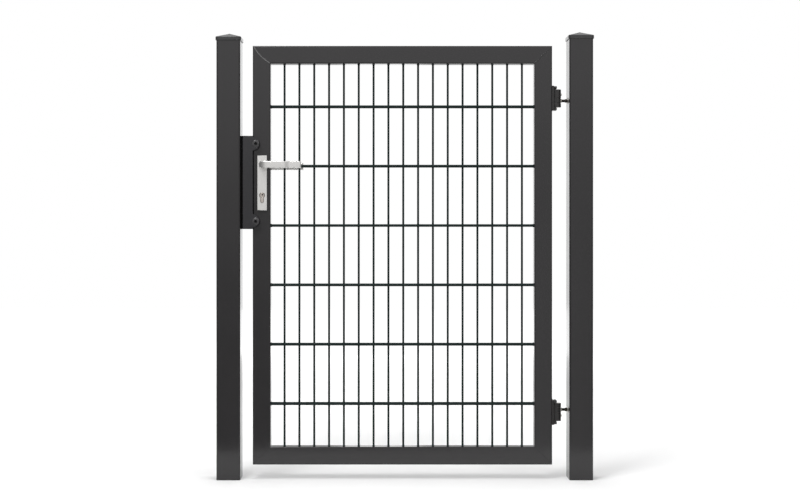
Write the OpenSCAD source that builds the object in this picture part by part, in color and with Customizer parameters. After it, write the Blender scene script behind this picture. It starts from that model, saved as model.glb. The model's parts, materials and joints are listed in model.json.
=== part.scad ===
// Single-leaf garden gate: two capped box-section posts, a mitred tube frame filled with
// double-wire mesh, two eye-bolt hinges, and a cylinder lock with levers and a stop keep.
//
// Frame: the origin is on the ground at the middle of the hinge post's foot. +Z is up, +X runs
// away from the leaf, and the leaf hangs on the -X side. The front, towards which the stop ears
// of the keep lie, faces -Y. The leaf opens towards +Y.

/* [Gate size] */
// Clear width between the two posts
clear_width = 1100; // [800:10:1500]
// Height of the leaf
leaf_h = 1406; // [1150:1:2000]
// Gap under the leaf
ground_gap = 48; // [30:1:120]

/* [Posts] */
// Width of each square post
post_w = 80; // [70:5:120]
// Wall of the posts
post_wall = 3; // [2:0.5:5]
// Outer corner radius of the posts
post_r = 6; // [4:0.5:9]
// How far the hinge post rises above the leaf
hinge_post_over_leaf = 32; // [10:1:150]
// How far the lock post rises above the leaf
lock_post_over_leaf = 27; // [10:1:150]

/* [Post caps] */
// Wall of a cap's collar
cap_wall = 2.7; // [2:0.1:5]
// Height of a cap's collar
cap_collar_h = 12; // [8:1:25]
// How far the collar reaches down the post
cap_lap = 10; // [5:0.5:20]
// Rise of a cap's pyramid above its collar
cap_rise = 15; // [5:1:40]

/* [Leaf frame] */
// Face width of the frame tube
frame_face = 60; // [50:1:80]
// Depth of the frame tube
frame_depth = 40; // [34:1:60]
// Wall of the frame tube
frame_wall = 2; // [1.5:0.5:4]
// Outer corner radius of the frame tube
frame_r = 4; // [3:0.5:6]
// Gap between the leaf and the lock post
lock_gap = 40; // [36:1:60]
// Gap between the leaf and the hinge post
hinge_gap = 55; // [52:1:80]

/* [Wire mesh] */
// Diameter of the upright wires
upright_wire_d = 6; // [4:0.5:8]
// Diameter of the cross wires, which lie in pairs
cross_wire_d = 8; // [4:0.5:8]
// Pitch of the upright wires
wire_pitch = 50; // [30:5:100]
// Pitch of the cross wire pairs
row_pitch = 200; // [100:10:300]
// Least space between the first upright wire and a stile
side_margin_min = 40; // [10:5:60]
// Least space between the first cross pair and a rail
row_margin_min = 100; // [20:5:180]
// How far the mesh is set off the leaf's middle, towards the hinges
mesh_offset = 3; // [-5:0.5:5]

/* [Hinges] */
// Distance of a hinge's middle from the leaf's top or bottom edge
hinge_inset = 175; // [120:5:300]
// Distance of the hinge axis from the leaf's edge
hinge_reach = 21; // [19:0.5:25]
// Height of a hinge's base plate
hinge_plate_h = 83; // [80:1:120]
// Thickness of a hinge's base plate
hinge_plate_t = 8; // [5:0.5:8]
// Diameter of the hinge knuckles
knuckle_d = 22; // [20:1:26]
// Height of a hinge's two knuckles with the eye between them
knuckle_h = 60; // [50:1:60]
// Diameter of the hinge pins
pin_d = 12; // [8:1:14]
// Height of the eye
eye_h = 16; // [13:1:20]
// How far the eye lies from the hinge's middle
eye_offset = 8; // [6:0.5:13]
// Diameter of the eye bolt's shank
shank_d = 10; // [8:1:12]

/* [Lock and levers] */
// Height of the levers' axis above the ground
lever_z = 1052; // [800:1:1100]
// Distance of the lock's axes from the leaf's edge
backset = 32; // [30:0.5:33]
// Distance from the levers' axis down to the cylinder's axis
lock_centres = 100; // [72:1:110]
// Width of the handle plates
plate_w = 32; // [28:1:45]
// Height of the handle plates
plate_h = 184; // [175:1:260]
// Thickness of the handle plates
plate_t = 8; // [5:0.5:12]
// Reach of a lever from its axis to its tip
lever_reach = 133; // [110:1:160]
// Height of a lever's grip
grip_h = 26; // [20:1:30]
// Thickness of a lever's grip
grip_t = 10; // [8:1:16]
// Distance from a handle plate to the middle of the grip
grip_out = 44; // [36:1:60]
// Diameter of a lever's neck
neck_d = 14; // [14:1:18]
// Side of the square spindle
spindle_w = 8; // [7:1:9]

/* [Keep] */
// Height of the keep
keep_h = 312; // [260:1:400]
// Width of the keep's front flange, measured from the spacer
keep_w = 35.5; // [28:0.5:45]
// Thickness of the spacer behind the keep
spacer_t = 6.5; // [3:0.5:8]
// Distance from the leaf's front to the front of the keep
keep_proud = 16; // [12:1:24]
// Wall of the keep
keep_wall = 4; // [3:0.5:6]
// Radius of an ear's round end
ear_r = 22; // [16:1:26]
// Reach of an ear over the front of the leaf
ear_reach = 24; // [18:1:30]

/* [Hidden] */
$fn = 64;

anthracite = [0.22, 0.23, 0.24];
mesh_green_black = [0.10, 0.13, 0.12];
satin_silver = [0.78, 0.78, 0.76];
zinc = [0.66, 0.67, 0.66];
nickel = [0.60, 0.56, 0.52];
rubber_black = [0.05, 0.05, 0.05];

// General allowances
eps = 1;              // how far a cut runs past the face that it opens
slip = 0.3;           // gap of a part that slides or turns in another

// Places along X
hinge_face_x = -post_w / 2;
lock_face_x = hinge_face_x - clear_width;
lock_post_x = lock_face_x - post_w / 2;
leaf_hinge_x = hinge_face_x - hinge_gap;
leaf_lock_x = lock_face_x + lock_gap;
leaf_w = leaf_hinge_x - leaf_lock_x;
hinge_axis_x = leaf_hinge_x + hinge_reach;
lever_x = leaf_lock_x + backset;

// Places along Y
leaf_front_y = -frame_depth / 2;
leaf_back_y = frame_depth / 2;

// Places along Z
leaf_bottom_z = ground_gap;
leaf_top_z = ground_gap + leaf_h;
hinge_post_h = leaf_top_z + hinge_post_over_leaf;
lock_post_h = leaf_top_z + lock_post_over_leaf;
cylinder_z = lever_z - lock_centres;
plate_drop = 8;       // how far the plates' middle lies below the middle of the two axes
keep_over_plate = 1;
plate_z = (lever_z + cylinder_z) / 2 - plate_drop;
keep_z = plate_z + keep_over_plate;
upper_hinge_z = leaf_top_z - hinge_inset;
lower_hinge_z = leaf_bottom_z + hinge_inset;

// Mesh
mesh_w = leaf_w - 2 * frame_face;
mesh_h = leaf_h - 2 * frame_face;
upright_count = floor((mesh_w - 2 * side_margin_min) / wire_pitch) + 1;
row_count = floor((mesh_h - 2 * row_margin_min) / row_pitch) + 1;
wire_sides = 8;
weld_bite = 0.2;
cross_wire_y = (upright_wire_d + cross_wire_d) / 2 - weld_bite;

// Hinges
axis_height_over_plate = hinge_reach - hinge_plate_t;
knuckle_gap = 0.4;
eye_gap = 0.5;        // from the eye's round side to the knuckles' cylinder and to the bracket
eye_d = knuckle_d - 2 * eye_gap;
insert_d = shank_d + 6;
insert_flange_d = insert_d + 5;
insert_flange_t = 1.5;
insert_l = 20;
collar_d = shank_d + 2;
collar_l = 8;
hinge_screw_z = (hinge_plate_h + knuckle_h) / 4;
hinge_screw_y = frame_depth / 4;
hinge_screw_d = 6;
hinge_screw_head_d = 9.5;
hinge_screw_head_h = 8.5;
hinge_screw_l = 16;
set_screw_d = 8;
set_screw_proud = 2.5;
set_screw_z = 13;

// Lock
case_w = 24;
case_wall = 2;
case_gap = 8;         // from the case's back to the stile's far wall
case_depth = frame_face - frame_wall - case_gap;
case_h = 160;
case_rise = 4;        // how far the case's middle lies above the middle of the two axes
forend_w = case_w;
forend_past_case = 30;
forend_h = case_h + 2 * forend_past_case;
forend_t = 3;
forend_screw_inset = 9;
forend_screw_z = forend_h / 2 - forend_screw_inset;
forend_screw_d = 5;
forend_screw_l = 14;
latch_w = 12;
latch_h = 30;
latch_l = 22;
latch_over_lever = 8;
latch_z = lever_z + latch_over_lever;
latch_proud = 1;
bolt_w = 10;
bolt_h = 35;
bolt_l = 36;
bolt_over_cylinder = 30;
bolt_z = cylinder_z + bolt_over_cylinder;
lock_z = (lever_z + cylinder_z) / 2 + case_rise;
cylinder_d = 17;
cylinder_web_w = 10;
cylinder_h = 33;
cylinder_proud = 2;
keyway_w = 2.4;
keyway_h = 8;
keyway_l = 12;
boss_d = neck_d + 6;
boss_h = 3;
neck_gap = 1;         // round a lever's neck in the stile
plate_chamfer = 2;
handle_screw_inset = 10;
handle_screw_z = plate_h / 2 - handle_screw_inset;
handle_screw_d = 5;
handle_screw_head_d = 9;
handle_screw_head_h = 2;
spindle_in_lever = 10;
grip_chamfer = 3;
grip_lean = 3;        // how far the grip's middle bar leans away from the leaf
grip_end = neck_d / 2 + 0.75;     // past the neck, so that the two round ends don't touch in a line
grip_bends = [0.36, 0.70];        // shares of the reach
tip_return = 9;       // how far the tip turns back towards the leaf
tip_w = 6;

// Keep
keep_x = lock_face_x + spacer_t;
keep_front_y = leaf_front_y - keep_proud;
keep_back_y = leaf_back_y + keep_wall;
swing_gap = 6.5;      // from the leaf's edge to the keep's back flange, past which it swings
keep_back_w = lock_gap - spacer_t - swing_gap;
keep_depth = keep_back_y - keep_front_y;
ear_x = leaf_lock_x + ear_reach - ear_r;
ear_shoulder = 5;     // from the top of an ear's round end to the keep's end
ear_z = keep_h / 2 - ear_r - ear_shoulder;
ear_screw_in = 11.5;  // from the leaf's edge
ear_screw_x = leaf_lock_x + ear_screw_in;
ear_screw_inset = 26;
ear_screw_z = keep_h / 2 - ear_screw_inset;
buffer_d = 24;
buffer_gap = 0.3;
stop_screw_d = 6;
stop_screw_head_d = 11;
stop_screw_head_h = 2;
stop_washer_d = buffer_d;
stop_washer_t = 1.5;
keep_bolt_d = 8;
keep_bolt_inset = 75;
keep_bolt_z = keep_h / 2 - keep_bolt_inset;
keep_bolt_head_d = 14;
keep_bolt_head_h = 5;
keep_bolt_l = 30;

// ---- Shared shapes ----

// A rectangle with round corners, about its middle
module rounded_rect(w, d, r) {
    square([w - 2 * r, d], center = true);
    square([w, d - 2 * r], center = true);
    for (sx = [-1, 1], sy = [-1, 1])
        translate([sx * (w / 2 - r), sy * (d / 2 - r)]) circle(r);
}

// The cut face of a box tube
module tube_section(w, d, wall, r) {
    difference() {
        rounded_rect(w, d, r);
        rounded_rect(w - 2 * wall, d - 2 * wall, r - wall);
    }
}

// A cylinder along +Y that starts at y = 0
module rod_y(d, l) {
    rotate([-90, 0, 0]) cylinder(d = d, h = l);
}

// A cylinder along +X that starts at x = 0
module rod_x(d, l) {
    rotate([0, 90, 0]) cylinder(d = d, h = l);
}

// The solids of a hinge are drawn at the upper hinge, with its eye below its middle.
// The lower hinge is the upper one turned over.
module at_hinge(upper) {
    translate([hinge_axis_x, 0, upper ? upper_hinge_z : lower_hinge_z])
        if (upper) children();
        else mirror([0, 0, 1]) children();
}

// The upper and lower solids of the keep mirror each other about its middle
module at_keep_end(upper) {
    translate([0, 0, keep_z])
        if (upper) children();
        else mirror([0, 0, 1]) children();
}

// ---- Posts ----

module post_tube(height) {
    linear_extrude(height) tube_section(post_w, post_w, post_wall, post_r);
}

module lock_post() {
    color(anthracite) difference() {
        translate([lock_post_x, 0, 0]) post_tube(lock_post_h);
        for (side = [-1, 1])
            translate([lock_face_x - post_wall - eps, 0, keep_z + side * keep_bolt_z])
                rod_x(keep_bolt_d, post_wall + 2 * eps);
    }
}

module hinge_post() {
    color(anthracite) difference() {
        post_tube(hinge_post_h);
        for (z = [upper_hinge_z - eye_offset, lower_hinge_z + eye_offset])
            translate([hinge_face_x - eps, 0, z]) rod_x(insert_d, post_wall + 2 * eps);
    }
}

// A pyramid of the given width and rise: two crossed ridges
module pyramid(w, rise) {
    intersection() {
        rotate([90, 0, 0]) linear_extrude(w + 2 * eps, center = true)
            polygon([[-w / 2, 0], [w / 2, 0], [0, rise]]);
        rotate([90, 0, 90]) linear_extrude(w + 2 * eps, center = true)
            polygon([[-w / 2, 0], [w / 2, 0], [0, rise]]);
    }
}

module post_cap() {
    inner_w = post_w + 2 * slip;
    outer_w = inner_w + 2 * cap_wall;
    pyramid_w = outer_w - 2 * cap_wall;
    difference() {
        union() {
            linear_extrude(cap_collar_h)
                rounded_rect(outer_w, outer_w, post_r + cap_wall);
            translate([0, 0, cap_collar_h]) pyramid(pyramid_w, cap_rise);
        }
        translate([0, 0, -eps]) linear_extrude(cap_lap + eps)
            rounded_rect(inner_w, inner_w, post_r + slip);
        translate([0, 0, cap_collar_h - cap_wall])
            pyramid(pyramid_w - 4 * cap_wall, cap_rise * (1 - 4 * cap_wall / pyramid_w));
    }
}

module lock_post_cap() {
    color(anthracite) translate([lock_post_x, 0, lock_post_h - cap_lap]) post_cap();
}

module hinge_post_cap() {
    color(anthracite) translate([0, 0, hinge_post_h - cap_lap]) post_cap();
}

// ---- Keep on the lock post ----

module keep_spacer() {
    color(rubber_black) difference() {
        translate([lock_face_x, keep_front_y + keep_wall, keep_z - keep_h / 2])
            cube([spacer_t, keep_depth - keep_wall, keep_h]);
        for (side = [-1, 1])
            translate([lock_face_x - eps, 0, keep_z + side * keep_bolt_z])
                rod_x(keep_bolt_d, spacer_t + 2 * eps);
    }
}

// One ear: the flat lobe that carries a stop buffer
module keep_ear() {
    lobe_x = ear_x - keep_x;
    translate([keep_x, keep_front_y, ear_z]) {
        rotate([-90, 0, 0]) linear_extrude(keep_wall)
            intersection() {
                union() {
                    translate([lobe_x, 0]) circle(ear_r);
                    translate([0, -ear_r]) square([lobe_x, 2 * ear_r]);
                    translate([0, -ear_r - ear_shoulder]) square([lobe_x, ear_r + ear_shoulder]);
                }
                translate([0, -ear_r - ear_shoulder])
                    square([lobe_x + ear_r, 2 * ear_r + ear_shoulder]);
            }
    }
}

module keep_body() {
    color(anthracite) difference() {
        union() {
            difference() {
                translate([keep_x, keep_front_y, keep_z - keep_h / 2])
                    cube([keep_w, keep_depth, keep_h]);
                translate([keep_x + keep_wall, keep_front_y + keep_wall, keep_z - keep_h / 2 - eps])
                    cube([keep_w, keep_depth - 2 * keep_wall, keep_h + 2 * eps]);
                translate([keep_x + keep_back_w, 0, keep_z - keep_h / 2 - eps])
                    cube([keep_w, keep_depth, keep_h + 2 * eps]);
            }
            for (upper = [true, false]) at_keep_end(upper) keep_ear();
        }
        for (side = [-1, 1]) {
            translate([keep_x - eps, 0, keep_z + side * keep_bolt_z])
                rod_x(keep_bolt_d, keep_wall + 2 * eps);
            translate([ear_screw_x, keep_front_y - eps, keep_z + side * ear_screw_z])
                rod_y(stop_screw_d, keep_wall + 2 * eps);
        }
    }
}

// A socket screw that clamps the keep and its spacer to the post wall
module keep_bolt() {
    translate([keep_x + keep_wall - keep_bolt_l, 0, keep_bolt_z])
        rod_x(keep_bolt_d, keep_bolt_l);
    translate([keep_x + keep_wall, 0, keep_bolt_z])
        rod_x(keep_bolt_head_d, keep_bolt_head_h);
}

module upper_keep_bolt() { color(zinc) at_keep_end(true) keep_bolt(); }
module lower_keep_bolt() { color(zinc) at_keep_end(false) keep_bolt(); }

// A rubber buffer behind an ear, just clear of the closed leaf
module stop_buffer() {
    back_y = keep_front_y + keep_wall;
    length = leaf_front_y - buffer_gap - back_y;
    difference() {
        translate([ear_screw_x, back_y, ear_screw_z]) rod_y(buffer_d, length);
        translate([ear_screw_x, back_y - eps, ear_screw_z]) rod_y(stop_screw_d, length / 2 + eps);
    }
}

module upper_stop_buffer() { color(rubber_black) at_keep_end(true) stop_buffer(); }
module lower_stop_buffer() { color(rubber_black) at_keep_end(false) stop_buffer(); }

// The screw that holds a buffer, with the washer under its head
module stop_screw() {
    length = keep_wall + (leaf_front_y - buffer_gap - keep_front_y - keep_wall) / 2;
    translate([ear_screw_x, keep_front_y, ear_screw_z]) rod_y(stop_screw_d, length);
    translate([ear_screw_x, keep_front_y - stop_washer_t, ear_screw_z])
        rod_y(stop_washer_d, stop_washer_t);
    translate([ear_screw_x, keep_front_y - stop_washer_t - stop_screw_head_h, ear_screw_z])
        rod_y(stop_screw_head_d, stop_screw_head_h);
}

module upper_stop_screw() { color(anthracite) at_keep_end(true) stop_screw(); }
module lower_stop_screw() { color(anthracite) at_keep_end(false) stop_screw(); }

// ---- Hinges, post side ----

module eye_bolt() {
    insert_end = -hinge_axis_x + hinge_face_x + insert_l;
    translate([0, 0, -eye_offset]) difference() {
        union() {
            translate([0, 0, -eye_h / 2]) cylinder(d = eye_d, h = eye_h);
            rod_x(shank_d, insert_end);
        }
        translate([0, 0, -eye_h / 2 - eps]) cylinder(d = pin_d + 2 * slip, h = eye_h + 2 * eps);
    }
}

module upper_eye_bolt() { color(zinc) at_hinge(true) eye_bolt(); }
module lower_eye_bolt() { color(zinc) at_hinge(false) eye_bolt(); }

// The round threaded collar that locks the eye bolt against the insert
module lock_collar() {
    face = hinge_face_x - hinge_axis_x - insert_flange_t;
    translate([face - collar_l, 0, -eye_offset]) difference() {
        rod_x(collar_d, collar_l);
        translate([-eps, 0, 0]) rod_x(shank_d, collar_l + 2 * eps);
    }
}

module upper_lock_collar() { color(zinc) at_hinge(true) lock_collar(); }
module lower_lock_collar() { color(zinc) at_hinge(false) lock_collar(); }

// The flanged threaded insert in the post wall that takes the eye bolt
module post_insert() {
    face = hinge_face_x - hinge_axis_x;
    translate([face, 0, -eye_offset]) difference() {
        union() {
            rod_x(insert_d, insert_l);
            translate([-insert_flange_t, 0, 0]) rod_x(insert_flange_d, insert_flange_t);
        }
        translate([-insert_flange_t - eps, 0, 0]) rod_x(shank_d, insert_l + insert_flange_t + 2 * eps);
    }
}

module upper_post_insert() { color(zinc) at_hinge(true) post_insert(); }
module lower_post_insert() { color(zinc) at_hinge(false) post_insert(); }

// ---- Hinges, leaf side ----

// A knuckle from z0 to z1, with the arm that joins it to the base plate
module knuckle(z0, z1) {
    translate([0, 0, z0]) {
        cylinder(d = knuckle_d, h = z1 - z0);
        translate([-hinge_reach + eps, -knuckle_d / 2, 0])
            cube([hinge_reach - eps, knuckle_d, z1 - z0]);
    }
}

module hinge_bracket() {
    eye_top = -eye_offset + eye_h / 2 + knuckle_gap;
    eye_bottom = -eye_offset - eye_h / 2 - knuckle_gap;
    difference() {
        union() {
            translate([-hinge_reach, -frame_depth / 2, -hinge_plate_h / 2])
                cube([hinge_plate_t, frame_depth, hinge_plate_h]);
            knuckle(eye_top, knuckle_h / 2);
            knuckle(-knuckle_h / 2, eye_bottom);
        }
        translate([0, 0, -knuckle_h / 2 - eps]) cylinder(d = pin_d, h = knuckle_h + 2 * eps);
        translate([0, 0, eye_bottom]) cylinder(d = eye_d + 2 * eye_gap, h = eye_top - eye_bottom);
        for (y = [-1, 1], z = [-1, 1])
            translate([-hinge_reach - eps, y * hinge_screw_y, z * hinge_screw_z])
                rod_x(hinge_screw_d, hinge_plate_t + 2 * eps);
        translate([0, 0, set_screw_z]) rod_x(set_screw_d, knuckle_d);
    }
}

module upper_hinge_bracket() { color(anthracite) at_hinge(true) hinge_bracket(); }
module lower_hinge_bracket() { color(anthracite) at_hinge(false) hinge_bracket(); }

module hinge_pin() {
    translate([0, 0, -knuckle_h / 2]) cylinder(d = pin_d, h = knuckle_h);
}

module upper_hinge_pin() { color(zinc) at_hinge(true) hinge_pin(); }
module lower_hinge_pin() { color(zinc) at_hinge(false) hinge_pin(); }

// Four cap screws through the base plate into the stile
module hinge_screws() {
    for (y = [-1, 1], z = [-1, 1])
        translate([-axis_height_over_plate, y * hinge_screw_y, z * hinge_screw_z]) {
            translate([-hinge_screw_l, 0, 0]) rod_x(hinge_screw_d, hinge_screw_l);
            rod_x(hinge_screw_head_d, hinge_screw_head_h);
        }
}

module upper_hinge_screws() { color(anthracite) at_hinge(true) hinge_screws(); }
module lower_hinge_screws() { color(anthracite) at_hinge(false) hinge_screws(); }

// The grub screw that holds the pin in the long knuckle
module set_screw() {
    difference() {
        translate([pin_d / 2 - eps, 0, set_screw_z])
            rod_x(set_screw_d, (knuckle_d - pin_d) / 2 + set_screw_proud + eps);
        cylinder(d = pin_d, h = knuckle_h);
    }
}

module upper_set_screw() { color(zinc) at_hinge(true) set_screw(); }
module lower_set_screw() { color(zinc) at_hinge(false) set_screw(); }

// ---- Leaf frame ----

// A tube of the given length along +Z, from z = 0, with its outer edge on the plane x = 0 and its
// inner edge at x = frame_face, mitred at both ends
module mitred_tube(length) {
    intersection() {
        translate([frame_face / 2, 0, 0]) linear_extrude(length)
            tube_section(frame_face, frame_depth, frame_wall, frame_r);
        rotate([90, 0, 0]) linear_extrude(frame_depth + 2 * eps, center = true)
            polygon([[0, 0], [frame_face, frame_face], [frame_face, length - frame_face], [0, length]]);
    }
}

// The cylinder's outline: a round head over a web with a round foot, about the head's middle
module cylinder_profile(gap) {
    web = cylinder_web_w + 2 * gap;
    foot = cylinder_h - cylinder_d / 2 - cylinder_web_w / 2;
    circle(d = cylinder_d + 2 * gap);
    translate([-web / 2, -foot]) square([web, foot]);
    translate([0, -foot]) circle(d = web);
}

// The cylinder's outline as a bar along +Y that starts at y
module cylinder_bar(y, length, gap) {
    translate([lever_x, y + length, cylinder_z]) rotate([90, 0, 0])
        linear_extrude(length) cylinder_profile(gap);
}

module lock_stile() {
    color(anthracite) difference() {
        translate([leaf_lock_x, 0, leaf_bottom_z]) mitred_tube(leaf_h);
        translate([leaf_lock_x - eps, -forend_w / 2, lock_z - forend_h / 2])
            cube([frame_wall + 2 * eps, forend_w, forend_h]);
        translate([lever_x, leaf_front_y - eps, lever_z])
            rod_y(neck_d + 2 * neck_gap, frame_depth + 2 * eps);
        cylinder_bar(leaf_front_y - eps, frame_depth + 2 * eps, slip);
        for (side = [-1, 1])
            translate([lever_x, leaf_front_y - eps, plate_z + side * handle_screw_z])
                rod_y(handle_screw_d, frame_depth + 2 * eps);
    }
}

module hinge_stile() {
    color(anthracite) difference() {
        translate([leaf_hinge_x, 0, leaf_bottom_z]) mirror([1, 0, 0]) mitred_tube(leaf_h);
        for (hz = [upper_hinge_z, lower_hinge_z], y = [-1, 1], z = [-1, 1])
            translate([leaf_hinge_x - frame_wall - eps, y * hinge_screw_y, hz + z * hinge_screw_z])
                rod_x(hinge_screw_d, frame_wall + 2 * eps);
    }
}

module top_rail() {
    color(anthracite) translate([leaf_lock_x, 0, leaf_top_z])
        rotate([0, 90, 0]) mitred_tube(leaf_w);
}

module bottom_rail() {
    color(anthracite) translate([leaf_hinge_x, 0, leaf_bottom_z])
        rotate([0, -90, 0]) mitred_tube(leaf_w);
}

// A wire along +Z with its flats at the wire's true radius
module wire(d, length) {
    rotate(180 / wire_sides)
        cylinder(d = d / cos(180 / wire_sides), h = length, $fn = wire_sides);
}

module mesh_panel() {
    leaf_middle_x = (leaf_lock_x + leaf_hinge_x) / 2;
    middle_z = (leaf_bottom_z + leaf_top_z) / 2;
    color(mesh_green_black) {
        for (i = [0 : upright_count - 1])
            translate([leaf_middle_x + mesh_offset + (i - (upright_count - 1) / 2) * wire_pitch, 0,
                       middle_z - mesh_h / 2])
                wire(upright_wire_d, mesh_h);
        for (i = [0 : row_count - 1], side = [-1, 1])
            translate([leaf_middle_x - mesh_w / 2, side * cross_wire_y,
                       middle_z + (i - (row_count - 1) / 2) * row_pitch])
                rotate([0, 90, 0]) wire(cross_wire_d, mesh_w);
    }
}

// ---- Lock ----

module lock_case() {
    inside = forend_t;
    color(zinc) difference() {
        translate([leaf_lock_x + inside, -case_w / 2 + frame_wall, lock_z - case_h / 2])
            cube([case_depth - inside, case_w - 2 * frame_wall, case_h]);
        translate([leaf_lock_x + inside - eps, -case_w / 2 + frame_wall + case_wall,
                   lock_z - case_h / 2 + case_wall])
            cube([case_depth - inside - case_wall + eps, case_w - 2 * (frame_wall + case_wall),
                  case_h - 2 * case_wall]);
        translate([lever_x, -case_w, lever_z]) rod_y(spindle_w * sqrt(2) + 2 * slip, 2 * case_w);
        for (side = [-1, 1])
            translate([lever_x, -case_w, plate_z + side * handle_screw_z])
                rod_y(handle_screw_d + 2 * slip, 2 * case_w);
        cylinder_bar(-case_w, 2 * case_w, slip);
    }
}

module lock_forend() {
    color(satin_silver) difference() {
        translate([leaf_lock_x, -forend_w / 2, lock_z - forend_h / 2])
            cube([forend_t, forend_w, forend_h]);
        translate([leaf_lock_x - eps, -latch_w / 2 - slip, latch_z - latch_h / 2 - slip])
            cube([forend_t + 2 * eps, latch_w + 2 * slip, latch_h + 2 * slip]);
        translate([leaf_lock_x - eps, -bolt_w / 2 - slip, bolt_z - bolt_h / 2 - slip])
            cube([forend_t + 2 * eps, bolt_w + 2 * slip, bolt_h + 2 * slip]);
        for (side = [-1, 1])
            translate([leaf_lock_x - eps, 0, lock_z + side * forend_screw_z])
                rod_x(forend_screw_d, forend_t + 2 * eps);
    }
}

module forend_screws() {
    color(zinc) for (side = [-1, 1])
        translate([leaf_lock_x, 0, lock_z + side * forend_screw_z])
            rod_x(forend_screw_d, forend_screw_l);
}

// The sprung latch, drawn back so that its bevelled nose is all that stands proud
module latch_bolt() {
    color(zinc) translate([leaf_lock_x - latch_proud, 0, latch_z - latch_h / 2])
        linear_extrude(latch_h)
            polygon([[0, -latch_w / 2], [0, latch_w / 2 - latch_proud], [latch_proud, latch_w / 2],
                     [latch_l, latch_w / 2], [latch_l, -latch_w / 2]]);
}

module dead_bolt() {
    color(zinc) translate([leaf_lock_x, -bolt_w / 2, bolt_z - bolt_h / 2])
        cube([bolt_l, bolt_w, bolt_h]);
}

// A handle plate with its inner face on y = 0 and its front towards -Y
module handle_plate() {
    face_w = plate_w - 2 * plate_chamfer;
    face_h = plate_h - 2 * plate_chamfer;
    edge_t = plate_t - plate_chamfer;
    intersection() {
        translate([0, 0, plate_z - plate_h / 2]) linear_extrude(plate_h)
            polygon([[-plate_w / 2, 0], [-plate_w / 2, -edge_t], [-face_w / 2, -plate_t],
                     [face_w / 2, -plate_t], [plate_w / 2, -edge_t], [plate_w / 2, 0]]);
        translate([0, 0, plate_z]) rotate([90, 0, 90]) linear_extrude(plate_w + 2 * eps, center = true)
            polygon([[0, -plate_h / 2], [-edge_t, -plate_h / 2], [-plate_t, -face_h / 2],
                     [-plate_t, face_h / 2], [-edge_t, plate_h / 2], [0, plate_h / 2]]);
    }
    translate([0, -plate_t - boss_h, lever_z]) rod_y(boss_d, boss_h + plate_t / 2);
}

module plate_holes() {
    translate([0, -plate_t - boss_h - eps, lever_z])
        rod_y(neck_d + 2 * slip, plate_t + boss_h + 2 * eps);
}

module front_handle_plate() {
    color(satin_silver) difference() {
        translate([lever_x, leaf_front_y, 0]) difference() {
            handle_plate();
            plate_holes();
        }
        cylinder_bar(leaf_front_y - plate_t - eps, plate_t + 2 * eps, slip);
    }
}

module back_handle_plate() {
    color(satin_silver) difference() {
        translate([lever_x, leaf_back_y, 0]) mirror([0, 1, 0]) difference() {
            handle_plate();
            plate_holes();
            for (side = [-1, 1])
                translate([0, -plate_t - eps, plate_z + side * handle_screw_z])
                    rod_y(handle_screw_d, plate_t + 2 * eps);
        }
        cylinder_bar(leaf_back_y - eps, plate_t + 2 * eps, slip);
    }
}

// The screws that clamp both plates to the stile: heads on the back, ends in the front plate
module handle_screws() {
    color(zinc) for (side = [-1, 1])
        translate([lever_x, leaf_front_y, plate_z + side * handle_screw_z]) {
            rod_y(handle_screw_d, frame_depth + plate_t);
            translate([0, frame_depth + plate_t, 0])
                rod_y(handle_screw_head_d, handle_screw_head_h);
        }
}

module lock_cylinder() {
    front = leaf_front_y - plate_t - cylinder_proud;
    length = -2 * front;
    color(nickel) difference() {
        cylinder_bar(front, length, 0);
        for (side = [-1, 1])
            translate([lever_x - keyway_w / 2, side < 0 ? front - eps : -front - keyway_l,
                       cylinder_z - keyway_h / 2])
                cube([keyway_w, keyway_l + eps, keyway_h]);
    }
}

// ---- Levers ----

// Plan of a grip, from the neck towards the tip. Its front turns round into the neck in a quarter
// circle, its bars lean out slightly between the bends, and the tip turns back towards the leaf.
module grip_plan() {
    half = grip_t / 2;
    bends = lever_reach * grip_bends;
    turn = [for (a = [0 : 15 : 90])
        [grip_t * (1 - cos(a)) - grip_end, half - grip_t * sin(a)]];
    polygon(concat(turn, [
        [bends[0], -half - grip_lean], [bends[1], -half - grip_lean],
        [lever_reach - grip_chamfer, -half], [lever_reach, -half + grip_chamfer],
        [lever_reach, half + tip_return], [lever_reach - tip_w, half + tip_return],
        [lever_reach - grip_t, half],
        [bends[1], half - grip_lean], [bends[0], half - grip_lean]
    ]));
}

// The lever with its axis along Y through the origin, its neck starting at the leaf's face y = 0
// and its grip towards -Y
module lever() {
    neck_l = plate_t + grip_out;
    round_x = grip_h / 2 - grip_end - eps;
    translate([0, -neck_l, 0]) rod_y(neck_d, neck_l);
    translate([0, -neck_l, 0]) intersection() {
        linear_extrude(grip_h, center = true) grip_plan();
        rotate([90, 0, 0]) linear_extrude(4 * grip_t, center = true) {
            translate([round_x, 0]) circle(d = grip_h);
            translate([round_x, -grip_h / 2]) square([lever_reach, grip_h]);
        }
    }
}

module front_lever() {
    color(satin_silver) difference() {
        translate([lever_x, leaf_front_y, lever_z]) lever();
        spindle_bar();
    }
}

module back_lever() {
    color(satin_silver) difference() {
        translate([lever_x, leaf_back_y, lever_z]) mirror([0, 1, 0]) lever();
        spindle_bar();
    }
}

module spindle_bar() {
    length = frame_depth + 2 * (plate_t + spindle_in_lever);
    translate([lever_x, 0, lever_z]) cube([spindle_w, length, spindle_w], center = true);
}

module spindle() { color(zinc) spindle_bar(); }

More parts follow.
